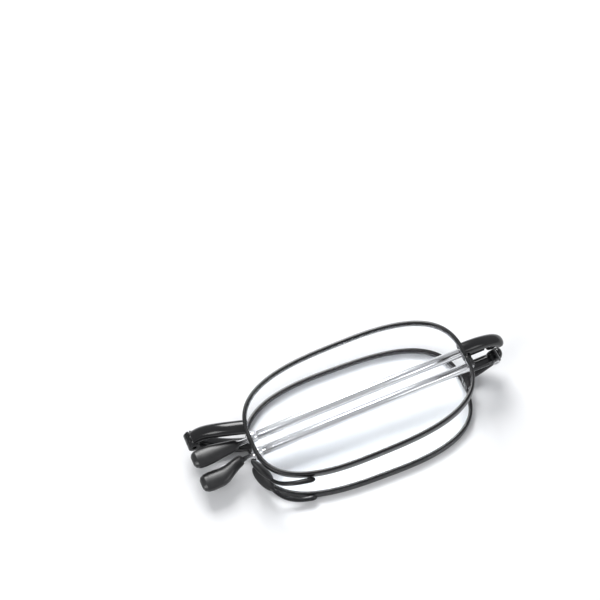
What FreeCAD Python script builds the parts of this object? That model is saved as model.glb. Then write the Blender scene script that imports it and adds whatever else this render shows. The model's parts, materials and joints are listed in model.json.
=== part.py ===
import FreeCAD, Part
import math
import os

# Folding reading glasses, folded shut, in millimetres.
#
# Working frame: the bridge hinge axis is the Y axis, +X runs outward from the bridge to the temple
# hinges, +Y is upward on the wearer's face, and the two halves mirror each other in the plane z = 0.
# The right half lies below that plane and the left half above it, both with their lens fronts outward.
# "Front frame" below means one half laid flat: its rim front face is z = 0, and +Z is the back of the
# lens.  At the end the whole object is turned so that the right half lies flat, and its origin is put
# at the bottom centre of its box.

os.makedirs("parts", exist_ok=True)

V = FreeCAD.Vector
ORIGIN = V(0, 0, 0)
Y_AXIS = V(0, 1, 0)
Z_AXIS = V(0, 0, 1)

# ---- lens halves
LENS_CENTRE_X = 34.2          # from the bridge hinge axis to the middle of a lens
RIM_HALF_WIDTH = 23.5        # of the rim's centre line
RIM_HALF_HEIGHT = 13.05
RIM_SQUARENESS = 2.83         # 2 is an ellipse, more is squarer
RIM_WIDTH = 0.85
RIM_DEPTH = 1.8
RIM_EDGE_ROUND = 0.25
GROOVE_DEPTH = 0.25
GROOVE_HEIGHT = 0.6
GROOVE_SETBACK = 1.1          # groove centre behind the rim front face
LENS_CLEARANCE = 0.02
LENS_FRONT_RADIUS = 700.0
LENS_FRONT_SETBACK = 0.07     # lens crown behind the rim front face
LENS_BACK_SETBACK = 1.7
OUTLINE_STEPS = 48

# ---- oval bars with a rounded end
END_ROUND_START = 0.86        # share of the bar's length at which the rounding starts
END_ROUND_DEPTH = 0.93        # 1 would close the end to a point
BAR_PLACES = [0.0, 0.17, 0.33, 0.5, 0.67, 0.83, 1.0]          # shares of the length with a section
ROUNDED_BAR_PLACES = [0.0, 0.2, 0.4, 0.6, 0.76, 0.88, 0.95, 0.985, 1.0]

# ---- how the two halves stack when shut
HINGE_SETBACK = 4.8           # bridge hinge axis behind the rim front face
HALF_LEAN = 2.6               # degrees that each half leans away from the middle plane
MIDDLE_GAP = 0.2              # what each half keeps clear of the middle plane

# ---- bridge hinge
BAR_WIDTH = 3.0
BAR_THICKNESS = 2.3
BAR_RIM_Y = 3.6               # height at which the bar meets the rim
BAR_RIM_Z = 1.3
BAR_RIM_BITE = 0.6             # how far the bar runs on past the rim's centre line before it is trimmed
BAR_BENDS = [(0.72, 0.34, 0.1), (0.40, 0.71, 0.75), (0.14, 0.97, 2.0)]  # share of the way out, share
#                                of the rise, and how far behind the rim end
BAR_HINGE_RISE = 2.9           # the bar's hinge end behind its rim end
BRIDGE_KNUCKLE_Y = 7.1        # middle of the hinge barrel
BRIDGE_KNUCKLE_RADIUS = 1.25
BRIDGE_OUTER_KNUCKLE = 1.05   # length of each of the right half's two knuckles
BRIDGE_MIDDLE_KNUCKLE = 1.2   # length of the left half's knuckle
KNUCKLE_GAP = 0.05            # between neighbouring knuckles along the axis
KNUCKLE_SWEEP_GAP = 0.15      # around a knuckle that turns in a recess
BRIDGE_STOP_GAP = 0.03        # half the gap between the two bars' stop faces when open
BRIDGE_SCREW_RADIUS = 0.45
SCREW_RUNNING_CLEARANCE = 0.04

# ---- temple hinges
TEMPLE_HINGE_X = 64.7
TEMPLE_HINGE_Y = 2.05         # centre line of the endpiece, between the two temples
TEMPLE_STACK_Z = 1.1          # each temple's axis from the middle plane
ENDPIECE_WIDTH = 2.8
ENDPIECE_THICKNESS = 2.2
ENDPIECE_RIM_Y = 1.5
ENDPIECE_RIM_Z = 1.25
ENDPIECE_TIP_X = 66.6
ENDPIECE_RIM_BITE = 0.5
ENDPIECE_BENDS = [(0.33, 0.36, 0.55), (0.66, 0.82, 1.75), (0.90, 1.0, 3.3)]  # as BAR_BENDS
ENDPIECE_TIP_DROP = 0.2        # the end's middle in front of the temple axis
TEMPLE_KNUCKLE_RADIUS = 1.15
FRONT_KNUCKLE_LENGTH = 1.25
LEAF_KNUCKLE_LENGTH = 1.0
TEMPLE_SCREW_RADIUS = 0.4
SCREW_HEAD_RADIUS = 0.75
SCREW_HEAD_HEIGHT = 0.35
SCREW_HEAD_GAP = 0.03
SCREW_SLOT_WIDTH = 0.22
SCREW_SLOT_DEPTH = 0.18

# ---- telescopic temples, measured from the temple hinge axis towards the tip
TEMPLE_DROP_ANGLE = 1.2       # degrees that the temples slope down towards the ear
TUBE_OFFSET_Y = 1.3           # tube axis from the endpiece centre line
SLEEVE_START = 1.6
SLEEVE_END = 5.6
SLEEVE_WALL = 0.2
LEAF_NECK_SHARE = 0.7          # half the neck's depth as a share of the knuckle's radius
LEAF_NECK_OVERLAP = 0.5        # how far the neck runs into the sleeve
TUBE_START = 2.4
TUBE_END = 53.4
TUBE_RADIUS = 1.0
TUBE_WALL = 0.13
SLIDE_CLEARANCE = 0.03         # between a sliding piece and what it slides in
FERRULE_START = 52.2
FERRULE_END = 54.0
FERRULE_WALL = 0.2
FERRULE_CHAMFER = 0.2
MIDDLE_TUBE_START = 8.0
MIDDLE_TUBE_END = 54.4
FLARE_HEIGHT = 0.05            # how far the flare stands out, to catch the lip
FLARE_LENGTH = 1.2
LIP_LENGTH = 0.5
ROD_START = 10.0
ROD_HEAD_HEIGHT = 0.08         # how far the rod's head stands out, to catch the lip
TIP_START = 56.6
TIP_LENGTH = 9.7
TIP_SOCKET_DEPTH = 5.0
TIP_NECK_WIDTH = 2.3
TIP_WIDTH = 4.2
TIP_THICKNESS = 2.3
TIP_STATIONS = [(0.0, 0.0, 0.783, 0.783), (0.05, 0.0, 1.0, 0.935), (0.28, 0.368, 1.0, 1.0),
                (0.55, 0.868, 1.0, 1.0), (0.78, 1.0, 1.0, 1.0), (0.90, 1.0, 0.929, 0.935),
                (0.97, 1.0, 0.738, 0.717), (1.0, 1.0, 0.476, 0.435)]
# each station: share of the length, how far it has widened from the neck, and the rounding of its
# width and of its thickness
TIP_DROP_SHARE = 0.55         # share of the tip's length over which it drops
LEFT_TIP_DROP = -0.15          # how far each tip is set below its rod, so that the two lie side by side
RIGHT_TIP_DROP = 1.8

# ---- nose pads
PAD_LENGTH = 6.4
PAD_WIDTH = 2.8
PAD_THICKNESS = 1.4
PAD_CENTRE = V(10.6, -5.6, 3.2)
PAD_SLOPE = V(-2.0, 5.6, 0.5)     # along the pad, from its lower end to its upper end
PAD_FACE = V(-0.75, -0.3, 0.6)    # roughly the way its soft face looks
PAD_ARM_WIDTH = 1.2
PAD_ARM_THICKNESS = 0.8
PAD_ARM_END_SCALE = 0.55      # the arm is thinner where the pad covers it
PAD_ARM_FOOT_ANGLE = 219.0    # where the arm leaves the rim, about the lens centre, in degrees
PAD_ARM_ELBOW_ANGLE = 206.0
PAD_ARM_FOOT_BITE = 0.1        # how far the arm's foot runs into the rim before it is trimmed
PAD_ARM_FOOT_BACK = 0.75       # shares of the rim's depth
PAD_ARM_ELBOW_BACK = 1.1
PAD_ARM_LEAD = 0.4             # from the last bend to the pad's lower end
PAD_ARM_END = 0.6              # from the arm's end to the pad's middle
PAD_ARM_ELBOW_REACH = 1.7     # elbow's distance outside the rim's centre line

# ---- rim locks: the split block behind the rim that opens to let the lens out
RIM_SLIT = 0.3
LOCK_Y = -0.6                 # middle of the slit
LOCK_LENGTH_X = 1.7
LOCK_LENGTH_Y = 1.35
LOCK_HEIGHT = 1.5
LOCK_INWARD_SHARE = 0.25       # share of the lock on the lens side of the rim's centre line
LOCK_THREAD_SHARE = 0.9        # share of the upper block that the screw goes into
LOCK_SCREW_RADIUS = 0.35
LOCK_SCREW_HEAD_RADIUS = 0.6

# ---- radii that follow from the sizes above
SLEEVE_RADIUS = TUBE_RADIUS + SLEEVE_WALL
FERRULE_RADIUS = TUBE_RADIUS + FERRULE_WALL
TUBE_BORE_RADIUS = TUBE_RADIUS - TUBE_WALL
MIDDLE_FLARE_RADIUS = TUBE_BORE_RADIUS - SLIDE_CLEARANCE
MIDDLE_TUBE_RADIUS = MIDDLE_FLARE_RADIUS - FLARE_HEIGHT
FERRULE_LIP_RADIUS = MIDDLE_TUBE_RADIUS + SLIDE_CLEARANCE
MIDDLE_BORE_RADIUS = MIDDLE_TUBE_RADIUS - TUBE_WALL
ROD_HEAD_RADIUS = MIDDLE_BORE_RADIUS - SLIDE_CLEARANCE
ROD_RADIUS = ROD_HEAD_RADIUS - ROD_HEAD_HEIGHT
MIDDLE_LIP_RADIUS = ROD_RADIUS + SLIDE_CLEARANCE


# ------------------------------------------------------------------ small helpers
def cylinder_y(radius, y_low, y_high, x=0.0, z=0.0):
    """A cylinder along Y between two heights."""
    return Part.makeCylinder(radius, y_high - y_low, V(x, y_low, z), Y_AXIS)


def rod_x(radius, start, end):
    """A cylinder along a temple, which is built pointing along -X from its hinge at the origin."""
    return Part.makeCylinder(radius, end - start, V(-start, 0, 0), V(-1, 0, 0))


def box(x_range, y_range, z_range):
    """A box given by its low and high value along each axis."""
    corner = V(x_range[0], y_range[0], z_range[0])
    return Part.makeBox(x_range[1] - x_range[0], y_range[1] - y_range[0], z_range[1] - z_range[0], corner)


def smooth_path(points):
    """A smooth curve through a few points."""
    curve = Part.BSplineCurve()
    curve.interpolate(points)
    return curve


def oval_wire(centre, direction, width, thickness):
    """An ellipse across a direction, its width lying level."""
    forward = V(direction).normalize()
    across = Z_AXIS.cross(forward).normalize()
    upward = forward.cross(across)
    long_axis, short_axis = (across, upward) if width > thickness else (upward, across)
    major = max(width, thickness) / 2
    minor = min(width, thickness) / 2
    ellipse = Part.Ellipse(centre + long_axis * major, centre + short_axis * minor, centre)
    return Part.Wire(ellipse.toShape())


def oval_bar(points, width, thickness, end_scale=1.0, rounded_end=False):
    """A bar of oval section along a smooth path, tapering to end_scale, with a rounded end if asked."""
    curve = smooth_path(points)
    places = ROUNDED_BAR_PLACES if rounded_end else BAR_PLACES
    sections = []
    for share in places:
        scale = 1 + (end_scale - 1) * share
        if rounded_end and share > END_ROUND_START:
            into_end = (share - END_ROUND_START) / (1 - END_ROUND_START)
            scale *= math.sqrt(1 - (END_ROUND_DEPTH * into_end) ** 2)
        place = curve.FirstParameter + (curve.LastParameter - curve.FirstParameter) * share
        sections.append(oval_wire(curve.value(place), curve.tangent(place)[0], width * scale,
                                  thickness * scale))
    return Part.makeLoft(sections, True)


def slotted_screw(radius, head_radius, y_tip, y_head, x, z):
    """A screw along Y whose slotted head is beyond y_head, away from y_tip."""
    way = 1 if y_head > y_tip else -1
    shank = cylinder_y(radius, min(y_tip, y_head), max(y_tip, y_head), x, z)
    head_top = y_head + way * SCREW_HEAD_HEIGHT
    head = cylinder_y(head_radius, min(y_head, head_top), max(y_head, head_top), x, z)
    slot_floor = head_top - way * SCREW_SLOT_DEPTH
    slot = box((x - head_radius, x + head_radius), (min(slot_floor, head_top), max(slot_floor, head_top)),
               (z - SCREW_SLOT_WIDTH / 2, z + SCREW_SLOT_WIDTH / 2))
    return shank.fuse(head).cut(slot).removeSplitter()


# ------------------------------------------------------------------ frames
def lean(shape):
    """From the front frame to the working frame, for the right half."""
    moved = shape.copy()
    moved.translate(V(0, 0, -HINGE_SETBACK))
    moved.rotate(ORIGIN, Y_AXIS, HALF_LEAN)
    return moved


def in_front_frame(point):
    """A point of the working frame, given in the right half's front frame."""
    turned = FreeCAD.Rotation(Y_AXIS, -HALF_LEAN).multVec(point)
    return turned + V(0, 0, HINGE_SETBACK)


def mirrored(shape):
    """The same piece of the other half."""
    return shape.mirror(ORIGIN, Z_AXIS)


# ------------------------------------------------------------------ rim and lens
def outline_point(angle, offset):
    """A point of the squared oval, moved outward along its own normal."""
    cosine = math.cos(angle)
    sine = math.sin(angle)
    power = RIM_SQUARENESS
    reach = (abs(cosine / RIM_HALF_WIDTH) ** power + abs(sine / RIM_HALF_HEIGHT) ** power) ** (-1 / power)
    x = reach * cosine
    y = reach * sine
    normal_x = math.copysign(abs(x / RIM_HALF_WIDTH) ** (power - 1) / RIM_HALF_WIDTH, x)
    normal_y = math.copysign(abs(y / RIM_HALF_HEIGHT) ** (power - 1) / RIM_HALF_HEIGHT, y)
    length = math.hypot(normal_x, normal_y)
    return V(LENS_CENTRE_X + x + offset * normal_x / length, y + offset * normal_y / length, 0)


def outline_slab(offset, z_low, z_high):
    """A slab of the rim's outline, grown or shrunk by an offset."""
    points = [outline_point(2 * math.pi * step / OUTLINE_STEPS, offset) for step in range(OUTLINE_STEPS)]
    curve = Part.BSplineCurve()
    curve.interpolate(points, PeriodicFlag=True)
    face = Part.Face(Part.Wire(curve.toShape()))
    face.translate(V(0, 0, z_low))
    return face.extrude(V(0, 0, z_high - z_low))


def rim_envelope():
    """All that the rim and lens fill, which soldered pieces stop at."""
    return outline_slab(RIM_WIDTH / 2, 0, RIM_DEPTH)


def rim():
    """The eyewire: a ring with rounded outer edges, a lens groove and one slit at its temple side."""
    outer = rim_envelope()
    long_edges = [edge for edge in outer.Edges if edge.BoundBox.ZLength < RIM_EDGE_ROUND]
    outer = outer.makeFillet(RIM_EDGE_ROUND, long_edges)
    inner = outline_slab(-RIM_WIDTH / 2, 0, RIM_DEPTH)
    groove = outline_slab(-RIM_WIDTH / 2 + GROOVE_DEPTH, GROOVE_SETBACK - GROOVE_HEIGHT / 2,
                          GROOVE_SETBACK + GROOVE_HEIGHT / 2)
    slit_x = LENS_CENTRE_X + RIM_HALF_WIDTH
    slit = box((slit_x - RIM_WIDTH, slit_x + RIM_WIDTH), (LOCK_Y - RIM_SLIT / 2, LOCK_Y + RIM_SLIT / 2),
               (0, RIM_DEPTH))
    return outer.cut(inner).cut(groove).cut(slit)


def lens():
    """A lens with a spherical front, a flat back and a tongue that sits in the rim's groove."""
    plug = outline_slab(-RIM_WIDTH / 2 - LENS_CLEARANCE, 0, LENS_BACK_SETBACK)
    tongue = outline_slab(-RIM_WIDTH / 2 + GROOVE_DEPTH - LENS_CLEARANCE,
                          GROOVE_SETBACK - GROOVE_HEIGHT / 2 + LENS_CLEARANCE,
                          GROOVE_SETBACK + GROOVE_HEIGHT / 2 - LENS_CLEARANCE)
    crown = Part.makeSphere(LENS_FRONT_RADIUS, V(LENS_CENTRE_X, 0, LENS_FRONT_RADIUS + LENS_FRONT_SETBACK),
                            V(0, 0, -1))
    return plug.common(crown).fuse(tongue).removeSplitter()


# ------------------------------------------------------------------ bridge
def bridge_knuckle_spans():
    """The Y spans of the right half's lower and upper knuckle and, between them, the left half's."""
    half = BRIDGE_MIDDLE_KNUCKLE / 2
    middle = (BRIDGE_KNUCKLE_Y - half, BRIDGE_KNUCKLE_Y + half)
    lower = (middle[0] - KNUCKLE_GAP - BRIDGE_OUTER_KNUCKLE, middle[0] - KNUCKLE_GAP)
    upper = (middle[1] + KNUCKLE_GAP, middle[1] + KNUCKLE_GAP + BRIDGE_OUTER_KNUCKLE)
    return lower, middle, upper


def bridge_bar(own_spans, other_spans, screw_hole_radius):
    """A half bridge: an oval bar from the rim to the hinge, with its knuckles, in the front frame."""
    rim_x = outline_point(math.pi, 0).x
    rise = BRIDGE_KNUCKLE_Y - BAR_RIM_Y
    path = [V(rim_x + BAR_RIM_BITE, BAR_RIM_Y, BAR_RIM_Z)]
    path += [V(rim_x * out, BAR_RIM_Y + rise * up, BAR_RIM_Z + back) for out, up, back in BAR_BENDS]
    path.append(V(0, BRIDGE_KNUCKLE_Y, BAR_RIM_Z + BAR_HINGE_RISE))
    bar = oval_bar(path, BAR_WIDTH, BAR_THICKNESS)
    keep = box((BRIDGE_STOP_GAP, rim_x + BAR_WIDTH), (0, 2 * BRIDGE_KNUCKLE_Y),
               (0, HINGE_SETBACK - MIDDLE_GAP))
    bar = bar.common(keep).cut(rim_envelope())
    for low, high in own_spans:
        bar = bar.fuse(cylinder_y(BRIDGE_KNUCKLE_RADIUS, low, high, 0, HINGE_SETBACK))
    sweep_radius = BRIDGE_KNUCKLE_RADIUS + KNUCKLE_SWEEP_GAP
    for low, high in other_spans:
        bar = bar.cut(cylinder_y(sweep_radius, low - KNUCKLE_GAP, high + KNUCKLE_GAP, 0, HINGE_SETBACK))
    hole = cylinder_y(screw_hole_radius, 0, 2 * BRIDGE_KNUCKLE_Y, 0, HINGE_SETBACK)
    return bar.cut(hole).removeSplitter()


def bridge_screw():
    """The hinge screw, in the front frame, with its head on top of the upper knuckle."""
    lower, middle, upper = bridge_knuckle_spans()
    return slotted_screw(BRIDGE_SCREW_RADIUS, SCREW_HEAD_RADIUS, lower[0], upper[1], 0, HINGE_SETBACK)


# ------------------------------------------------------------------ temple hinges
def hinge_spans(side):
    """The Y spans of the endpiece's knuckle and of the temple's, for side 1 (upper) or -1 (lower)."""
    near = TEMPLE_HINGE_Y + side * KNUCKLE_GAP
    front_far = near + side * FRONT_KNUCKLE_LENGTH
    leaf_near = front_far + side * KNUCKLE_GAP
    leaf_far = leaf_near + side * LEAF_KNUCKLE_LENGTH
    return tuple(sorted((near, front_far))), tuple(sorted((leaf_near, leaf_far)))


def endpiece(side):
    """The curved end of the front: an oval bar from the rim to the temple hinge, in the front frame."""
    front_span, leaf_span = hinge_spans(side)
    hinge = in_front_frame(V(TEMPLE_HINGE_X, TEMPLE_HINGE_Y, -TEMPLE_STACK_Z))
    rim_x = outline_point(0, 0).x
    run = ENDPIECE_TIP_X - rim_x
    rise = TEMPLE_HINGE_Y - ENDPIECE_RIM_Y
    path = [V(rim_x - ENDPIECE_RIM_BITE, ENDPIECE_RIM_Y, ENDPIECE_RIM_Z)]
    path += [V(rim_x + run * out, ENDPIECE_RIM_Y + rise * up, ENDPIECE_RIM_Z + back)
             for out, up, back in ENDPIECE_BENDS]
    path.append(V(ENDPIECE_TIP_X, TEMPLE_HINGE_Y, hinge.z - ENDPIECE_TIP_DROP))
    bar = oval_bar(path, ENDPIECE_WIDTH, ENDPIECE_THICKNESS, rounded_end=True)
    bar = bar.cut(rim_envelope())
    bar = bar.fuse(cylinder_y(TEMPLE_KNUCKLE_RADIUS, *front_span, hinge.x, hinge.z))
    sweep_radius = TEMPLE_KNUCKLE_RADIUS + KNUCKLE_SWEEP_GAP
    turning_room = cylinder_y(sweep_radius, leaf_span[0] - KNUCKLE_GAP, leaf_span[1] + KNUCKLE_GAP,
                              hinge.x, hinge.z)
    hole = cylinder_y(TEMPLE_SCREW_RADIUS, *front_span, hinge.x, hinge.z)
    return bar.cut(turning_room).cut(hole).removeSplitter()


def temple_screw(side):
    """The temple hinge screw, in the working frame of the right half."""
    front_span, leaf_span = hinge_spans(side)
    tip = front_span[0] if side > 0 else front_span[1]
    head = leaf_span[1] + SCREW_HEAD_GAP if side > 0 else leaf_span[0] - SCREW_HEAD_GAP
    return slotted_screw(TEMPLE_SCREW_RADIUS, SCREW_HEAD_RADIUS, tip, head, TEMPLE_HINGE_X, -TEMPLE_STACK_Z)


def place_on_hinge(shape, side):
    """Puts a temple piece, built along -X from the origin, on its hinge, sloping down to the ear."""
    placed = shape.copy()
    placed.rotate(ORIGIN, Z_AXIS, TEMPLE_DROP_ANGLE)
    placed.translate(V(TEMPLE_HINGE_X, TEMPLE_HINGE_Y + side * TUBE_OFFSET_Y, -TEMPLE_STACK_Z))
    return placed


def temple_leaf(side):
    """The temple's half of the hinge: a knuckle, a neck and a sleeve that holds the outer tube."""
    front_span, leaf_span = hinge_spans(side)
    sleeve = place_on_hinge(rod_x(SLEEVE_RADIUS, SLEEVE_START, SLEEVE_END), side)
    seat = place_on_hinge(rod_x(TUBE_RADIUS, TUBE_START, SLEEVE_END), side)
    knuckle = cylinder_y(TEMPLE_KNUCKLE_RADIUS, *leaf_span, TEMPLE_HINGE_X, -TEMPLE_STACK_Z)
    neck_half = TEMPLE_KNUCKLE_RADIUS * LEAF_NECK_SHARE
    neck = box((TEMPLE_HINGE_X - SLEEVE_START - LEAF_NECK_OVERLAP, TEMPLE_HINGE_X), leaf_span,
               (-TEMPLE_STACK_Z - neck_half, -TEMPLE_STACK_Z + neck_half))
    hole = cylinder_y(TEMPLE_SCREW_RADIUS + SCREW_RUNNING_CLEARANCE, *leaf_span, TEMPLE_HINGE_X,
                      -TEMPLE_STACK_Z)
    return sleeve.fuse(neck).fuse(knuckle).cut(seat).cut(hole).removeSplitter()


# ------------------------------------------------------------------ telescopic temple
def outer_tube():
    return rod_x(TUBE_RADIUS, TUBE_START, TUBE_END).cut(rod_x(TUBE_BORE_RADIUS, TUBE_START, TUBE_END))


def ferrule():
    """The collar pressed over the outer tube's mouth; its lip holds the middle tube in."""
    body = rod_x(FERRULE_RADIUS, FERRULE_START, FERRULE_END)
    end_edges = [edge for edge in body.Edges if edge.BoundBox.XLength < FERRULE_CHAMFER]
    body = body.makeChamfer(FERRULE_CHAMFER, end_edges)
    return body.cut(rod_x(TUBE_RADIUS, FERRULE_START, TUBE_END)).cut(
        rod_x(FERRULE_LIP_RADIUS, FERRULE_START, FERRULE_END))


def middle_tube():
    """The middle section: flared inside the outer tube, with a lip at its mouth."""
    body = rod_x(MIDDLE_TUBE_RADIUS, MIDDLE_TUBE_START, MIDDLE_TUBE_END)
    body = body.fuse(rod_x(MIDDLE_FLARE_RADIUS, MIDDLE_TUBE_START, MIDDLE_TUBE_START + FLARE_LENGTH))
    body = body.cut(rod_x(MIDDLE_BORE_RADIUS, MIDDLE_TUBE_START, MIDDLE_TUBE_END - LIP_LENGTH))
    return body.cut(rod_x(MIDDLE_LIP_RADIUS, MIDDLE_TUBE_START, MIDDLE_TUBE_END)).removeSplitter()


def inner_rod():
    """The last section: a rod with a stop head, its outer end fixed in the tip."""
    body = rod_x(ROD_RADIUS, ROD_START, TIP_START + TIP_SOCKET_DEPTH)
    return body.fuse(rod_x(ROD_HEAD_RADIUS, ROD_START, ROD_START + FLARE_LENGTH)).removeSplitter()


def tip(drop):
    """The ear tip: a flat paddle that widens from its neck, set below the rod's line by drop."""
    sections = []
    for share, widened, width_round, thickness_round in TIP_STATIONS:
        width = (TIP_NECK_WIDTH + (TIP_WIDTH - TIP_NECK_WIDTH) * widened) * width_round
        along = min(share / TIP_DROP_SHARE, 1)
        sunk = drop * along * along * (3 - 2 * along)
        centre = V(-(TIP_START + TIP_LENGTH * share), -sunk, 0)
        sections.append(oval_wire(centre, V(-1, 0, 0), width, TIP_THICKNESS * thickness_round))
    body = Part.makeLoft(sections, True)
    return body.cut(rod_x(ROD_RADIUS, TIP_START, TIP_START + TIP_SOCKET_DEPTH))


# ------------------------------------------------------------------ nose pads
def pad_frame():
    """Unit directions along the pad, through its thickness and across its width."""
    along = V(PAD_SLOPE).normalize()
    face = (PAD_FACE - along * PAD_FACE.dot(along)).normalize()
    return along, face, along.cross(face)


def nose_pad():
    """A soft oval pad: a ball scaled to the pad's length, width and thickness."""
    along, face, across = pad_frame()
    ball = Part.makeSphere(1.0)
    stretch = FreeCAD.Matrix()
    stretch.scale(PAD_WIDTH / 2, PAD_THICKNESS / 2, PAD_LENGTH / 2)
    body = ball.transformGeometry(stretch)
    turn = FreeCAD.Matrix(across.x, face.x, along.x, PAD_CENTRE.x,
                          across.y, face.y, along.y, PAD_CENTRE.y,
                          across.z, face.z, along.z, PAD_CENTRE.z,
                          0, 0, 0, 1)
    body = body.transformGeometry(turn)
    return body.cut(pad_arm_bar())


def pad_arm_bar():
    """The strip that carries the pad, before it is trimmed at the rim."""
    along, face, across = pad_frame()
    lower_end = PAD_CENTRE - along * (PAD_LENGTH / 2)
    foot_reach = (RIM_WIDTH + PAD_ARM_WIDTH) / 2 - PAD_ARM_FOOT_BITE
    foot = outline_point(math.radians(PAD_ARM_FOOT_ANGLE), foot_reach)
    elbow = outline_point(math.radians(PAD_ARM_ELBOW_ANGLE), PAD_ARM_ELBOW_REACH)
    path = [foot + Z_AXIS * (RIM_DEPTH * PAD_ARM_FOOT_BACK),
            elbow + Z_AXIS * (RIM_DEPTH * PAD_ARM_ELBOW_BACK),
            lower_end - along * PAD_ARM_LEAD,
            PAD_CENTRE - along * PAD_ARM_END]
    return oval_bar(path, PAD_ARM_WIDTH, PAD_ARM_THICKNESS, end_scale=PAD_ARM_END_SCALE)


def pad_arm():
    return pad_arm_bar().cut(rim_envelope())


# ------------------------------------------------------------------ rim locks
def lock_position():
    """The lock's corner nearest the lens, its middle along X and the height its screw reaches."""
    x_low = outline_point(0, 0).x - LOCK_LENGTH_X * LOCK_INWARD_SHARE
    return x_low, x_low + LOCK_LENGTH_X / 2, LOCK_Y + LOCK_LENGTH_Y * LOCK_THREAD_SHARE


def rim_lock():
    """Two blocks soldered behind the rim, one on each side of its slit."""
    x_low, x_middle, screw_end = lock_position()
    z_range = (RIM_DEPTH, RIM_DEPTH + LOCK_HEIGHT)
    upper = box((x_low, x_low + LOCK_LENGTH_X),
                (LOCK_Y + RIM_SLIT / 2, LOCK_Y + RIM_SLIT / 2 + LOCK_LENGTH_Y), z_range)
    lower = box((x_low, x_low + LOCK_LENGTH_X),
                (LOCK_Y - RIM_SLIT / 2 - LOCK_LENGTH_Y, LOCK_Y - RIM_SLIT / 2), z_range)
    hole = cylinder_y(LOCK_SCREW_RADIUS, LOCK_Y - 2 * LOCK_LENGTH_Y, screw_end, x_middle,
                      RIM_DEPTH + LOCK_HEIGHT / 2)
    return Part.makeCompound([upper.cut(endpiece_bar_room()).cut(hole), lower.cut(hole)])


def endpiece_bar_room():
    """The endpieces of both hands, which a lock block stops at."""
    return endpiece(1).fuse(endpiece(-1))


def rim_lock_screw():
    x_low, x_middle, screw_end = lock_position()
    return slotted_screw(LOCK_SCREW_RADIUS, LOCK_SCREW_HEAD_RADIUS, screw_end,
                         LOCK_Y - RIM_SLIT / 2 - LOCK_LENGTH_Y, x_middle, RIM_DEPTH + LOCK_HEIGHT / 2)


# ------------------------------------------------------------------ assembly
def front_pieces(side, own_spans, other_spans, screw_hole_radius):
    """The fixed pieces of one half, as the right half, in the working frame."""
    return {
        "rim": lean(rim()),
        "lens": lean(lens()),
        "bridge_bar": lean(bridge_bar(own_spans, other_spans, screw_hole_radius)),
        "endpiece": lean(endpiece(side)),
        "rim_lock": lean(rim_lock()),
        "rim_lock_screw": lean(rim_lock_screw()),
        "pad_arm": lean(pad_arm()),
        "nose_pad": lean(nose_pad()),
        "temple_screw": temple_screw(side),
    }


def temple_pieces(side, tip_drop):
    """The moving pieces of one temple, as the right half's, in the working frame."""
    pieces = {"temple_leaf": temple_leaf(side)}
    for name, shape in (("outer_tube", outer_tube()), ("ferrule", ferrule()), ("middle_tube", middle_tube()),
                        ("inner_rod", inner_rod()), ("tip", tip(tip_drop))):
        pieces[name] = place_on_hinge(shape, side)
    return pieces


def assembly():
    """Every node of the shut glasses, in the working frame."""
    lower, middle, upper = bridge_knuckle_spans()
    right = front_pieces(-1, (lower, upper), (middle,), BRIDGE_SCREW_RADIUS)
    left = front_pieces(1, (middle,), (lower, upper), BRIDGE_SCREW_RADIUS + SCREW_RUNNING_CLEARANCE)
    right.update(temple_pieces(-1, RIGHT_TIP_DROP))
    left.update(temple_pieces(1, LEFT_TIP_DROP))
    nodes = {"right_" + name: shape for name, shape in right.items()}
    nodes.update({"left_" + name: mirrored(shape) for name, shape in left.items()})
    nodes["bridge_screw"] = lean(bridge_screw())
    return nodes


def lie_flat(shape):
    """Turns the right half level."""
    turned = shape.copy()
    turned.rotate(ORIGIN, Y_AXIS, -HALF_LEAN)
    return turned


def base_centre(shapes):
    """The bottom centre of the box around all the shapes."""
    whole = FreeCAD.BoundBox()
    for shape in shapes:
        whole.add(shape.optimalBoundingBox(False))
    return V(whole.Center.x, whole.Center.y, whole.ZMin)


def row_point(point, centre):
    """A point of the working frame, given in the finished object's frame."""
    return FreeCAD.Rotation(Y_AXIS, -HALF_LEAN).multVec(point) - centre


flat_nodes = {name: lie_flat(shape) for name, shape in assembly().items()}
centre = base_centre(flat_nodes.values())
for name, shape in sorted(flat_nodes.items()):
    shape.translate(-centre)
    shape.exportStep("parts/" + name + ".step")
    print(name, "solids", len(shape.Solids), "volume", round(shape.Volume, 2), "valid", shape.isValid())

hinge_points = {
    "bridge hinge": V(0, BRIDGE_KNUCKLE_Y, 0),
    "right temple hinge": V(TEMPLE_HINGE_X, TEMPLE_HINGE_Y, -TEMPLE_STACK_Z),
    "left temple hinge": V(TEMPLE_HINGE_X, TEMPLE_HINGE_Y, TEMPLE_STACK_Z),
}
for name, point in hinge_points.items():
    print(name, "at", [round(value, 4) for value in row_point(point, centre)])

rest_point = V(LENS_CENTRE_X, -RIM_HALF_HEIGHT, -HINGE_SETBACK) - centre
print("rest face at", [round(value, 4) for value in rest_point])
for hand in ("right", "left"):
    slope = math.radians(TEMPLE_DROP_ANGLE)
    towards_hinge = V(math.cos(slope), math.sin(slope), 0)
    direction = FreeCAD.Rotation(Y_AXIS, -HALF_LEAN).multVec(towards_hinge)
    print(hand, "slide direction", [round(value, 7) for value in direction])
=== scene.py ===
import json
import math

import bpy
import numpy as np
from mathutils import Matrix


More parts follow.
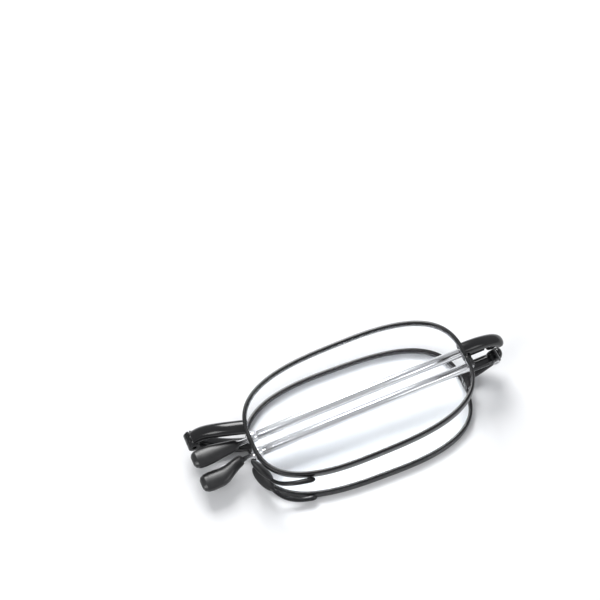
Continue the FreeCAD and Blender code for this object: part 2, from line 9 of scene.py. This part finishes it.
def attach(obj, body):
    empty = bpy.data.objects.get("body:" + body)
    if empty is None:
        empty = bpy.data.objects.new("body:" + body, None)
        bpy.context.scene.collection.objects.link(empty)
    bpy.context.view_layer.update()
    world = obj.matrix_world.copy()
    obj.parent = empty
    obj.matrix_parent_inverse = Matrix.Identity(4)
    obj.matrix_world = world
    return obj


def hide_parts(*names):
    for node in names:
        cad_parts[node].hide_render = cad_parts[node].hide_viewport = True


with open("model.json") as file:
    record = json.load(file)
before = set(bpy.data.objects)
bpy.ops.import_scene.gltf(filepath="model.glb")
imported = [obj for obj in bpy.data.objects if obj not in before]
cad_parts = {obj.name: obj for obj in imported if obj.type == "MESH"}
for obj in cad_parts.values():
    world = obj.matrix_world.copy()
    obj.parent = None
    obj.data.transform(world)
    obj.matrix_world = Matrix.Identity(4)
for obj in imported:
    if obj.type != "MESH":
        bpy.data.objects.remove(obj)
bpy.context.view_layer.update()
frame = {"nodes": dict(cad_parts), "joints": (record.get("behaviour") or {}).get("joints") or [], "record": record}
JOINTS = {joint["name"]: joint for joint in frame["joints"]}
HALVES = {"right": -1, "left": 1}      # which way each temple stands off the endpieces

# ---- the same sizes as the solids, in metres
MM = 0.001
HALF_LEAN = math.radians(2.6)
HINGE_SETBACK = 4.8 * MM
BRIDGE_HINGE = np.array(JOINTS["bridge_fold"]["pos_m"])
LENS_CENTRE_X = 34.2 * MM
RIM_HALF_WIDTH = 23.5 * MM
RIM_HALF_HEIGHT = 13.05 * MM
RIM_SQUARENESS = 2.83
RIM_WIDTH = 0.85 * MM
RIM_DEPTH = 1.8 * MM
RIM_SLIT = 0.3 * MM
SLIT_Y = -0.6 * MM
RIM_SECTION_POWER = 4.5                # 2 is an oval section, more is squarer
LENS_SEAT = -0.3 * MM                  # edge of the lens from the rim's centre line
LENS_FRONT_RADIUS = 700 * MM
LENS_FRONT_SETBACK = 0.07 * MM
LENS_BACK_SETBACK = 1.7 * MM
LENS_POLE = 0.02                       # share of the way out at which the rings start

BAR_WIDTH = 3.0 * MM
BAR_THICKNESS = 2.3 * MM
BAR_RIM = np.array([0.6, 3.6, 1.3]) * MM
BAR_BENDS = [(0.72, 0.34, 0.1), (0.40, 0.71, 0.75), (0.14, 0.97, 2.0)]
BAR_HINGE_RISE = 2.9 * MM
BAR_STOP = 0.03 * MM
BAR_POWER = 2.2
MIDDLE_GAP = 0.2 * MM
KNUCKLE_Y = 7.1 * MM
KNUCKLE_RADIUS = 1.25 * MM
OUTER_KNUCKLE = 1.05 * MM
MIDDLE_KNUCKLE = 1.2 * MM
KNUCKLE_GAP = 0.05 * MM
KNUCKLE_ROUND = 0.12 * MM

ENDPIECE_WIDTH = 2.8 * MM
ENDPIECE_THICKNESS = 2.2 * MM
ENDPIECE_RIM = np.array([0.5, 1.5, 1.25]) * MM
ENDPIECE_BENDS = [(0.33, 0.36, 0.55), (0.66, 0.82, 1.75), (0.90, 1.0, 3.3)]
ENDPIECE_TIP_X = 66.6 * MM
ENDPIECE_TIP_DROP = 0.2 * MM
END_ROUND_START = 0.86                 # share of the length at which the end starts to round
END_ROUND_DEPTH = 0.97                 # 1 would close it to a point
TEMPLE_HINGE_X = 64.7 * MM
TEMPLE_HINGE_Y = 2.05 * MM
TEMPLE_STACK_Z = 1.1 * MM
TEMPLE_KNUCKLE_RADIUS = 1.15 * MM
FRONT_KNUCKLE_LENGTH = 1.25 * MM

TUBE_OFFSET_Y = 1.3 * MM
TIP_START = 56.6 * MM
TIP_LENGTH = 9.7 * MM
TIP_NECK_WIDTH = 2.3 * MM
TIP_WIDTH = 4.2 * MM
TIP_THICKNESS = 2.3 * MM
TIP_DROP_SHARE = 0.55
TIP_SOFTENING = np.array([1, 4, 6, 4, 1]) / 16
SOFT_POWER = 2.3
TIP_DROPS = {"right": 1.8 * MM, "left": -0.15 * MM}
TIP_STATIONS = np.array([(0.0, 0.0, 0.783, 0.783), (0.05, 0.0, 1.0, 0.935), (0.28, 0.368, 1.0, 1.0),
                         (0.55, 0.868, 1.0, 1.0), (0.78, 1.0, 1.0, 1.0), (0.90, 1.0, 0.929, 0.935),
                         (0.97, 1.0, 0.738, 0.717), (1.0, 1.0, 0.476, 0.435)])

PAD_LENGTH = 6.4 * MM
PAD_WIDTH = 2.8 * MM
PAD_THICKNESS = 1.4 * MM
PAD_CENTRE = np.array([10.6, -5.6, 3.2]) * MM
PAD_SLOPE = np.array([-2.0, 5.6, 0.5])
PAD_FACE = np.array([-0.75, -0.3, 0.6])
PAD_ARM_WIDTH = 1.2 * MM
PAD_ARM_THICKNESS = 0.8 * MM
PAD_ARM_END_SCALE = 0.55
PAD_ARM_LEAD = 0.4 * MM
PAD_ARM_END = 0.6 * MM
PAD_ARM_POWER = 2.4
PAD_ARM_CROWDING = 1.4                 # above 1 crowds the rings at the foot
PAD_ARM_FOOT_ROUND = 0.09              # share of the length over which the foot rounds
PAD_ARM_FOOT_DEPTH = 0.96
PAD_ARM_FOOT = (math.radians(219.0), 0.925 * MM, 0.75)
PAD_ARM_ELBOW = (math.radians(206.0), 1.7 * MM, 1.1)
PAD_END_ANGLE = 0.03                   # radians short of the poles

# ---- how finely each surface is divided
RIM_STEPS, RIM_CORNERS = 361, 28
LENS_STEPS, LENS_RINGS = 240, 30
BAR_STEPS, BAR_CORNERS = 72, 40
ENDPIECE_STEPS = 80
PAD_ARM_STEPS, PAD_ARM_FINE_STEPS = 64, 400
PAD_STEPS = 48
TIP_STEPS, TIP_CORNERS = 90, 48
TURNED_CORNERS = 48
KNUCKLE_ROUND_STEPS = 5


# ------------------------------------------------------------------ camera
def place_camera(azimuth, elevation, distance, across, upward, height, focal):
    """Camera at a distance from its aim, which lies across and upward of the point above the origin."""
    a, e = math.radians(azimuth), math.radians(elevation)
    back = np.array([math.sin(a) * math.cos(e), -math.cos(a) * math.cos(e), math.sin(e)])
    right = np.array([math.cos(a), math.sin(a), 0.0])
    up = np.cross(back, right)
    aim = right * across + up * upward + np.array([0, 0, height])
    camera = bpy.data.objects.new("camera", bpy.data.cameras.new("camera"))
    camera.data.lens = focal
    camera.data.sensor_width = 36
    camera.data.clip_start, camera.data.clip_end = 0.01, 20
    world = np.eye(4)
    world[:3, 0], world[:3, 1], world[:3, 2], world[:3, 3] = right, up, back, aim + back * distance
    camera.matrix_world = Matrix(world)
    bpy.context.scene.collection.objects.link(camera)
    bpy.context.scene.camera = camera


place_camera(azimuth=-22.19, elevation=58.26, distance=374.2 * MM, across=-11.03 * MM, upward=22.57 * MM,
             height=7.0 * MM, focal=110)


# ------------------------------------------------------------------ frames
def turn_y(points, angle):
    """Points turned about the Y axis: x cos + z sin, and z cos - x sin."""
    c, s = math.cos(angle), math.sin(angle)
    x, y, z = points[..., 0], points[..., 1], points[..., 2]
    return np.stack([x * c + z * s, y, z * c - x * s], -1)


def in_row(points, half):
    """Points of one half laid flat, its rim front at z 0, put where that half lies in the shut glasses.
    The left half is the right one mirrored in the plane between them, which leans by HALF_LEAN."""
    moved = np.asarray(points, float) - [0, 0, HINGE_SETBACK]
    if half == "left":
        moved = turn_y(moved, HALF_LEAN) * [1, 1, -1]
        moved = turn_y(moved, -HALF_LEAN)
    return moved + [BRIDGE_HINGE[0], 0, BRIDGE_HINGE[2]]


def temple_line(half):
    """A temple's start, and its three directions: along to the tip, up the face and across the stack."""
    side = HALVES[half]
    hinge = np.array(JOINTS[half + "_temple_fold"]["pos_m"])
    along = -np.array(JOINTS[half + "_middle_tube_slide"]["axis"])
    up = np.array([0, 1.0, 0]) - along * along[1]
    up /= np.linalg.norm(up)
    return hinge + [0, side * TUBE_OFFSET_Y, 0], along, up, np.cross(along, up)


# ------------------------------------------------------------------ surfaces
def unit(vectors):
    """Vectors scaled to length 1."""
    return vectors / np.linalg.norm(vectors, axis=-1, keepdims=True)


def outline(angle, offset):
    """The squared oval: |x/a|^n + |y/b|^n = 1 at each angle, moved outward along its own normal."""
    c, s = np.cos(angle), np.sin(angle)
    a, b, n = RIM_HALF_WIDTH, RIM_HALF_HEIGHT, RIM_SQUARENESS
    reach = (np.abs(c / a) ** n + np.abs(s / b) ** n) ** (-1 / n)
    x, y = reach * c, reach * s
    normal = unit(np.stack([np.sign(x) * np.abs(x / a) ** (n - 1) / a,
                            np.sign(y) * np.abs(y / b) ** (n - 1) / b], -1))
    return np.stack([LENS_CENTRE_X + x, y], -1) + normal * np.asarray(offset)[..., None]


def oval(count, power=2.0):
    """A closed section of half sizes 1: cos and sin, each raised to 2 over the power, signs kept."""
    t = np.linspace(0, 2 * np.pi, count, endpoint=False)
    c, s = np.cos(t), np.sin(t)
    return np.stack([np.sign(c) * np.abs(c) ** (2 / power), np.sign(s) * np.abs(s) ** (2 / power)], -1)


def smooth_line(points, count):
    """A natural cubic curve through the points, by distance along them, at count even steps."""
    points = np.asarray(points, float)
    knots = np.append(0, np.cumsum(np.linalg.norm(np.diff(points, axis=0), axis=1)))
    gaps = np.diff(knots)[:, None]
    size = len(points)
    system = np.eye(size)
    middle = np.arange(1, size - 1)
    system[middle, middle - 1] = gaps[:-1, 0]
    system[middle, middle] = 2 * (gaps[:-1, 0] + gaps[1:, 0])
    system[middle, middle + 1] = gaps[1:, 0]
    slopes = np.diff(points, axis=0) / gaps
    known = np.zeros_like(points)
    known[1:-1] = 6 * np.diff(slopes, axis=0)
    bend = np.linalg.solve(system, known)
    at = np.linspace(0, knots[-1], count)
    k = np.clip(np.searchsorted(knots, at, "right") - 1, 0, size - 2)
    h, left, right = gaps[k], (knots[k + 1] - at)[:, None], (at - knots[k])[:, None]
    return (bend[k] * left ** 3 + bend[k + 1] * right ** 3) / (6 * h) + (
        points[k] / h - bend[k] * h / 6) * left + (points[k + 1] / h - bend[k + 1] * h / 6) * right


def carry(line, half_width, half_thickness, section):
    """A section carried along a line: its width lies level, its thickness square to that and the line."""
    forward = unit(np.gradient(line, axis=0))
    across = unit(np.cross([0, 0, 1.0], forward))
    up = np.cross(forward, across)
    wide = (across * half_width[:, None])[:, None] * section[None, :, :1]
    thick = (up * half_thickness[:, None])[:, None] * section[None, :, 1:]
    return line[:, None] + wide + thick


def turned(start, along, up, profile, count=TURNED_CORNERS):
    """A turned piece: each (distance, radius) of the profile goes round the line from start."""
    t = np.linspace(0, 2 * np.pi, count, endpoint=False)
    side = np.cross(along, up)
    ring = np.cos(t)[:, None] * up + np.sin(t)[:, None] * side
    profile = np.asarray(profile, float)
    return start + profile[:, :1, None] * along + profile[:, 1:, None] * ring[None]


def shell(rings, looped=False):
    """Rings of points joined by four-sided faces. The ends close on a middle point, or the last ring
    joins the first. Faces point outward, which the sign of the enclosed volume tells: the sum over
    triangles of a corner dotted with the cross product of the other two.
    Returns the points, the four-sided faces and the triangles of the ends."""
    n, m = rings.shape[:2]
    rows = np.arange(n if looped else n - 1)[:, None]
    here = np.arange(m)[None]
    onward, after = (rows + 1) % n, (here + 1) % m
    quads = np.stack([rows * m + here, rows * m + after, onward * m + after, onward * m + here], -1)
    quads = quads.reshape(-1, 4)
    points = rings.reshape(-1, 3)
    ends = np.zeros((0, 3), int)
    if not looped:
        points = np.vstack([points, rings[0].mean(0), rings[-1].mean(0)])
        edge, after = here[0], after[0]
        first = np.stack([after, edge, np.full(m, n * m)], -1)
        last = np.stack([(n - 1) * m + edge, (n - 1) * m + after, np.full(m, n * m + 1)], -1)
        ends = np.vstack([first, last])
    triangles = points[np.vstack([quads[:, :3], quads[:, [0, 2, 3]], ends])] - points.mean(0)
    if np.einsum("ij,ij->i", triangles[:, 0], np.cross(triangles[:, 1], triangles[:, 2])).sum() < 0:
        quads, ends = quads[:, ::-1], ends[:, ::-1]
    return points, quads, ends


def add_piece(node, shells, body):
    """One named piece from its shells, riding on a body in place of the CAD node of the same name."""
    points, faces, base = [], [], 0
    for shell_points, quads, ends in shells:
        points.append(shell_points)
        faces += (quads + base).tolist() + (ends + base).tolist()
        base += len(shell_points)
    mesh = bpy.data.meshes.new(node + "_shape")
    mesh.from_pydata(np.vstack(points).tolist(), [], faces)
    mesh.polygons.foreach_set("use_smooth", np.ones(len(faces), bool))
    mesh.update()
    piece = bpy.data.objects.new(node + "_piece", mesh)
    bpy.context.scene.collection.objects.link(piece)
    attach(piece, body)
    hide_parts(node)
    mesh.materials.append(FINISHES[SLOT_OF[node]])


def knuckle(x, z, y_low, y_high, radius):
    """A hinge barrel up the Y axis, its two rims rounded over by a quarter circle."""
    t = np.linspace(0, np.pi / 2, KNUCKLE_ROUND_STEPS)
    r = KNUCKLE_ROUND
    low = np.stack([r - r * np.cos(t), radius - r + r * np.sin(t)], -1)
    high = np.stack([y_high - y_low - low[::-1, 0], low[::-1, 1]], -1)
    up_axis, forward_axis = np.array([0, 1.0, 0]), np.array([0, 0, 1.0])
    return turned(np.array([x, y_low, z]), up_axis, forward_axis, np.vstack([low, high]))


# ------------------------------------------------------------------ finishes
NOISE_LOW, NOISE_HIGH = 0.3, 0.7       # the part of the noise's range that is used
DRIFT = 12                             # the coarse noise is this many times larger than the fine one


def finish(name, dark, light, roughness, metal=0.0, shine=0.5, grain=3000.0, bump=0.2, stretch=(1, 1, 1),
           relief=8e-6):
    """A finish whose colour and roughness drift with a coarse noise and whose surface has a fine one."""
    material = bpy.data.materials.new(name)
    material.use_nodes = True
    nodes, links = material.node_tree.nodes, material.node_tree.links
    shader = nodes["Principled BSDF"]
    place = nodes.new("ShaderNodeTexCoord")
    mapping = nodes.new("ShaderNodeMapping")
    mapping.inputs["Scale"].default_value = stretch
    links.new(place.outputs["Object"], mapping.inputs["Vector"])
    coarse, fine = nodes.new("ShaderNodeTexNoise"), nodes.new("ShaderNodeTexNoise")
    coarse.inputs["Scale"].default_value = grain / DRIFT
    coarse.inputs["Detail"].default_value = 4
    fine.inputs["Scale"].default_value = grain
    fine.inputs["Detail"].default_value = 3
    for noise in (coarse, fine):
        links.new(mapping.outputs["Vector"], noise.inputs["Vector"])
    colour = nodes.new("ShaderNodeValToRGB")
    for stop, place_on_ramp, shade in zip(colour.color_ramp.elements, (NOISE_LOW, NOISE_HIGH), (dark, light)):
        stop.position = place_on_ramp
        stop.color = (*shade, 1)
    links.new(coarse.outputs["Fac"], colour.inputs["Fac"])
    links.new(colour.outputs["Color"], shader.inputs["Base Color"])
    gloss = nodes.new("ShaderNodeMapRange")
    gloss.inputs["From Min"].default_value, gloss.inputs["From Max"].default_value = NOISE_LOW, NOISE_HIGH
    gloss.inputs["To Min"].default_value, gloss.inputs["To Max"].default_value = roughness
    links.new(coarse.outputs["Fac"], gloss.inputs["Value"])
    links.new(gloss.outputs["Result"], shader.inputs["Roughness"])
    surface = nodes.new("ShaderNodeBump")
    surface.inputs["Strength"].default_value = bump
    surface.inputs["Distance"].default_value = relief
    links.new(fine.outputs["Fac"], surface.inputs["Height"])
    links.new(surface.outputs["Normal"], shader.inputs["Normal"])
    shader.inputs["Metallic"].default_value = metal
    shader.inputs["Specular IOR Level"].default_value = shine
    return material


def clear_lens():
    """Clear lens: glass with a thin coating and the faintest haze, which lets lamps' light through."""
    material = finish("clear_lens", (0.97, 0.975, 0.985), (0.985, 0.99, 0.995), (0.0, 0.02), grain=600.0,
                      bump=0.03, relief=2e-6)
    nodes, links = material.node_tree.nodes, material.node_tree.links
    shader = nodes["Principled BSDF"]
    shader.inputs["Transmission Weight"].default_value = 1.0
    shader.inputs["IOR"].default_value = 1.5
    shader.inputs["Thin Film Thickness"].default_value = 110.0
    shader.inputs["Thin Film IOR"].default_value = 1.38
    through = nodes.new("ShaderNodeBsdfTransparent")
    through.inputs["Color"].default_value = (0.94, 0.95, 0.96, 1)
    rays = nodes.new("ShaderNodeLightPath")
    blend = nodes.new("ShaderNodeMixShader")
    links.new(rays.outputs["Is Shadow Ray"], blend.inputs["Fac"])
    links.new(shader.outputs["BSDF"], blend.inputs[1])
    links.new(through.outputs["BSDF"], blend.inputs[2])
    links.new(blend.outputs["Shader"], nodes["Material Output"].inputs["Surface"])
    return material


DRAWN = (0.04, 1, 1)                    # noise drawn out along the temples
FINISHES = {
    "black_enamel": finish("black_enamel", (0.006, 0.006, 0.007), (0.012, 0.012, 0.013), (0.13, 0.22),
                           shine=0.5, grain=2600.0, bump=0.12),
    "black_tip": finish("black_tip", (0.008, 0.008, 0.009), (0.016, 0.016, 0.017), (0.28, 0.38),
                        shine=0.65, grain=6000.0, bump=0.25),
    "black_rubber": finish("black_rubber", (0.012, 0.012, 0.013), (0.022, 0.022, 0.023), (0.36, 0.48),
                           shine=0.35,
                           grain=5000.0, bump=0.3),
    "chrome_tube": finish("chrome_tube", (0.80, 0.81, 0.83), (0.90, 0.90, 0.91), (0.16, 0.28), metal=1.0,
                          grain=5000.0, bump=0.1, stretch=DRAWN),
    "steel_screw": finish("steel_screw", (0.55, 0.55, 0.56), (0.72, 0.72, 0.73), (0.2, 0.34), metal=1.0,
                          grain=6000.0, bump=0.25),
    "clear_lens": clear_lens(),
}
SLOT_OF = {row["node"]: row["material_slot"] for row in frame["record"]["subparts"]}
for node_name, cad_piece in frame["nodes"].items():
    cad_piece.data.materials.clear()
    cad_piece.data.materials.append(FINISHES[SLOT_OF[node_name]])


# ------------------------------------------------------------------ fronts
def rim_rings(half):
    """The rim: a squared section carried round the outline from one side of the slit to the other."""
    edge = RIM_SLIT / 2
    angle = np.linspace((SLIT_Y + edge) / RIM_HALF_WIDTH, 2 * np.pi + (SLIT_Y - edge) / RIM_HALF_WIDTH,
                        RIM_STEPS)
    section = oval(RIM_CORNERS, RIM_SECTION_POWER) * [RIM_WIDTH / 2, RIM_DEPTH / 2]
    flat = outline(angle[:, None] + np.zeros(len(section)), section[None, :, 0] + np.zeros((RIM_STEPS, 1)))
    level = np.broadcast_to(section[None, :, 1] + RIM_DEPTH / 2, flat.shape[:2])
    return in_row(np.concatenate([flat, level[..., None]], -1), half)


def lens_rings(half):
    """The lens: the outline shrunk to its middle on a shallow ball in front and a flat behind."""
    share = np.sin(np.linspace(LENS_POLE, 1, LENS_RINGS) * np.pi / 2)
    angle = np.linspace(0, 2 * np.pi, LENS_STEPS, endpoint=False)
    edge = outline(angle, np.full(LENS_STEPS, LENS_SEAT)) - [LENS_CENTRE_X, 0]
    flat = share[:, None, None] * edge[None]
    front = LENS_FRONT_SETBACK + (flat ** 2).sum(-1) / (2 * LENS_FRONT_RADIUS)
    back = np.full(front.shape, LENS_BACK_SETBACK)
    flat = np.vstack([flat, flat[::-1]]) + [LENS_CENTRE_X, 0]
    return in_row(np.concatenate([flat, np.vstack([front, back[::-1]])[..., None]], -1), half)


def bent_line(rim_end, bends, rise, run, end, count):
    """A bar's middle line: from the rim, by its bends as shares of the run and the rise, to its end."""
    start_x, y, z = rim_end
    points = [rim_end] + [[run[0] + (run[1] - run[0]) * out, y + rise * up, z + back * MM]
                          for out, up, back in bends] + [end]
    return smooth_line(points, count)


def bridge_bar_shells(half):
    """Half the bridge: an oval bar, pressed flat where it stops short of the other half, and barrels."""
    rim_x = outline(np.array([np.pi]), np.zeros(1))[0, 0]
    start = np.array([rim_x + BAR_RIM[0], BAR_RIM[1], BAR_RIM[2]])
    end = [0, KNUCKLE_Y, BAR_RIM[2] + BAR_HINGE_RISE]
    line = bent_line(start, BAR_BENDS, KNUCKLE_Y - BAR_RIM[1], (0, rim_x), end, BAR_STEPS)
    size = np.ones(BAR_STEPS)
    rings = carry(line, size * BAR_WIDTH / 2, size * BAR_THICKNESS / 2, oval(BAR_CORNERS, BAR_POWER))
    rings[..., 0] = np.maximum(rings[..., 0], BAR_STOP)
    rings[..., 2] = np.minimum(rings[..., 2], HINGE_SETBACK - MIDDLE_GAP)
    low, high = KNUCKLE_Y - MIDDLE_KNUCKLE / 2, KNUCKLE_Y + MIDDLE_KNUCKLE / 2
    spans = [(low, high)] if half == "left" else [(low - KNUCKLE_GAP - OUTER_KNUCKLE, low - KNUCKLE_GAP),
                                                  (high + KNUCKLE_GAP, high + KNUCKLE_GAP + OUTER_KNUCKLE)]
    barrels = [knuckle(0, HINGE_SETBACK, *span, KNUCKLE_RADIUS) for span in spans]
    return [shell(in_row(made, half)) for made in [rings] + barrels]


def endpiece_shells(half):
    """The endpiece: an oval bar that rises from the rim to the temple hinge, with a rounded end."""
    side = HALVES[half]
    rim_x = outline(np.array([0.0]), np.zeros(1))[0, 0]
    hinge = turn_y(np.array([TEMPLE_HINGE_X, TEMPLE_HINGE_Y, -TEMPLE_STACK_Z]), -HALF_LEAN)
    hinge = hinge + [0, 0, HINGE_SETBACK]
    start = np.array([rim_x - ENDPIECE_RIM[0], ENDPIECE_RIM[1], ENDPIECE_RIM[2]])
    end = [ENDPIECE_TIP_X, TEMPLE_HINGE_Y, hinge[2] - ENDPIECE_TIP_DROP]
    line = bent_line(start, ENDPIECE_BENDS, TEMPLE_HINGE_Y - ENDPIECE_RIM[1], (rim_x, ENDPIECE_TIP_X), end,
                     ENDPIECE_STEPS)
    share = np.linspace(0, 1, ENDPIECE_STEPS)
    into_end = np.clip((share - END_ROUND_START) / (1 - END_ROUND_START), 0, 1)
    round_off = np.sqrt(1 - (END_ROUND_DEPTH * into_end) ** 2)
    rings = carry(line, ENDPIECE_WIDTH / 2 * round_off, ENDPIECE_THICKNESS / 2 * round_off,
                  oval(BAR_CORNERS, BAR_POWER))
    near = TEMPLE_HINGE_Y + side * KNUCKLE_GAP
    span = sorted((near, near + side * FRONT_KNUCKLE_LENGTH))
    barrel = knuckle(hinge[0], hinge[2], *span, TEMPLE_KNUCKLE_RADIUS)
    return [shell(in_row(made, half)) for made in (rings, barrel)]


def pad_directions():
    """Unit directions along the nose pad, through its thickness and across its width."""
    along = unit(PAD_SLOPE)
    face = unit(PAD_FACE - along * (PAD_FACE @ along))
    return along, face, np.cross(along, face)


def pad_arm_shells(half):
    """The strip that carries the pad: from the rim, out round its elbow and up behind the pad."""
    along = pad_directions()[0]
    points = []
    for angle, reach, back in (PAD_ARM_FOOT, PAD_ARM_ELBOW):
        points.append([*outline(np.array([angle]), np.array([reach]))[0], RIM_DEPTH * back])
    points += [PAD_CENTRE - along * (PAD_LENGTH / 2 + PAD_ARM_LEAD), PAD_CENTRE - along * PAD_ARM_END]
    share = np.linspace(0, 1, PAD_ARM_STEPS) ** PAD_ARM_CROWDING
    into_foot = np.clip(1 - share / PAD_ARM_FOOT_ROUND, 0, 1)
    size = (1 + (PAD_ARM_END_SCALE - 1) * share) * np.sqrt(1 - (PAD_ARM_FOOT_DEPTH * into_foot) ** 2)
    fine_line = smooth_line(points, PAD_ARM_FINE_STEPS)
    line = fine_line[np.round(share * (PAD_ARM_FINE_STEPS - 1)).astype(int)]
    rings = carry(line, size * PAD_ARM_WIDTH / 2, size * PAD_ARM_THICKNESS / 2,
                  oval(RIM_CORNERS, PAD_ARM_POWER))
    return [shell(in_row(rings, half))]


def nose_pad_shells(half):
    """The nose pad: an oval section whose size along t, from -1 to 1, is the root of 1 less t squared."""
    along, face, across = pad_directions()
    t = -np.cos(np.linspace(PAD_END_ANGLE, np.pi - PAD_END_ANGLE, PAD_STEPS))
    swell = np.sqrt(1 - t ** 2)
    section = oval(BAR_CORNERS, SOFT_POWER)
    middle = PAD_CENTRE + t[:, None] * along * PAD_LENGTH / 2
    wide = (swell * PAD_WIDTH / 2)[:, None, None] * section[None, :, :1] * across
    thick = (swell * PAD_THICKNESS / 2)[:, None, None] * section[None, :, 1:] * face
    return [shell(in_row(middle[:, None] + wide + thick, half))]


# ------------------------------------------------------------------ temples
def tip_shells(half):
    """The ear tip: an oval paddle that widens from its neck and drops below the rod by a smooth step."""
    start, along, up, across = temple_line(half)
    t = 0.5 - 0.5 * np.cos(np.linspace(0, np.pi, TIP_STEPS))
    widened, wide_round, thick_round = (np.interp(t, TIP_STATIONS[:, 0], column)
                                        for column in TIP_STATIONS.T[1:])
    widened = np.convolve(np.pad(widened, len(TIP_SOFTENING) // 2, "edge"), TIP_SOFTENING, "valid")
    width = (TIP_NECK_WIDTH + (TIP_WIDTH - TIP_NECK_WIDTH) * widened) * wide_round
    step = np.clip(t / TIP_DROP_SHARE, 0, 1)
    drop = TIP_DROPS[half] * step * step * (3 - 2 * step)
    line = start + (TIP_START + TIP_LENGTH * t)[:, None] * along - drop[:, None] * up
    section = oval(TIP_CORNERS, SOFT_POWER)
    wide = (width / 2)[:, None, None] * section[None, :, :1] * up
    thick = (TIP_THICKNESS * thick_round / 2)[:, None, None] * section[None, :, 1:] * across
    return [shell(line[:, None] + wide + thick)]


def tube_profile(start, end, radius, bore, lip=0.05):
    """A tube's wall as a closed loop of (distance, radius), its outer edges taken off."""
    return np.array([(start, bore), (start, radius - lip), (start + lip, radius), (end - lip, radius),
                     (end, radius - lip), (end, bore)]) * MM


TUBES = {
    "outer_tube": tube_profile(2.4, 53.4, 1.0, 0.87),
    "ferrule": tube_profile(52.2, 54.0, 1.2, 0.82, 0.2),
    "middle_tube": tube_profile(8.0, 54.4, 0.79, 0.58),
}
ROD_PROFILE = np.array([(10.0, 0.6), (10.03, 0.63), (11.2, 0.63), (11.2, 0.55), (61.5, 0.55)]) * MM
SECTIONS = {"outer_tube": "_temple", "ferrule": "_temple", "middle_tube": "_middle_section",
            "inner_rod": "_end_section", "tip": "_end_section"}

for half in HALVES:
    front = half + "_front"
    add_piece(half + "_rim", [shell(rim_rings(half))], front)
    add_piece(half + "_lens", [shell(lens_rings(half))], front)
    add_piece(half + "_bridge_bar", bridge_bar_shells(half), front)
    add_piece(half + "_endpiece", endpiece_shells(half), front)
    add_piece(half + "_pad_arm", pad_arm_shells(half), front)
    add_piece(half + "_nose_pad", nose_pad_shells(half), front)
    origin, along, up, across = temple_line(half)
    for name, profile in TUBES.items():
        add_piece(half + "_" + name, [shell(turned(origin, along, up, profile), looped=True)],
                  half + SECTIONS[name])
    add_piece(half + "_inner_rod", [shell(turned(origin, along, up, ROD_PROFILE))], half + "_end_section")
    add_piece(half + "_tip", tip_shells(half), half + "_end_section")


# ------------------------------------------------------------------ table and light
def table_top():
    """A plain pale table, level with the glasses' underside."""
    mesh = bpy.data.meshes.new("table")
    reach = 3.0
    mesh.from_pydata([(-reach, -reach, 0), (reach, -reach, 0), (reach, reach, 0), (-reach, reach, 0)], [],
                     [(0, 1, 2, 3)])
    table = bpy.data.objects.new("table", mesh)
    bpy.context.scene.collection.objects.link(table)
    mesh.materials.append(finish("table_paint", (0.86, 0.865, 0.88), (0.89, 0.895, 0.905), (0.5, 0.6),
                                 grain=60.0, bump=0.02))


def soft_lamp(name, place, aim, size, power):
    """A square lamp at a place, facing a point, its power in watts."""
    lamp = bpy.data.objects.new(name, bpy.data.lights.new(name, "AREA"))
    lamp.data.size = size
    lamp.data.energy = power
    back = unit(np.array(place, float) - aim)
    right = unit(np.cross([0, 0, 1.0], back))
    world = np.eye(4)
    world[:3, 0], world[:3, 1], world[:3, 2], world[:3, 3] = right, np.cross(back, right), back, place
    lamp.matrix_world = Matrix(world)
    bpy.context.scene.collection.objects.link(lamp)


table_top()
soft_lamp("overhead", (0.05, 0.62, 0.62), (0, 0, 0), 0.42, 6.4)
soft_lamp("side", (-0.75, -0.25, 0.70), (0, 0, 0), 0.40, 2.8)
soft_lamp("front", (0.55, -0.60, 0.60), (0, 0, 0), 0.40, 1.2)
surround = bpy.data.worlds.new("surround")
surround.use_nodes = True
surround.node_tree.nodes["Background"].inputs["Color"].default_value = (0.96, 0.975, 1.0, 1)
surround.node_tree.nodes["Background"].inputs["Strength"].default_value = 0.46
bpy.context.scene.world = surround
bpy.context.scene.view_settings.view_transform = "Standard"
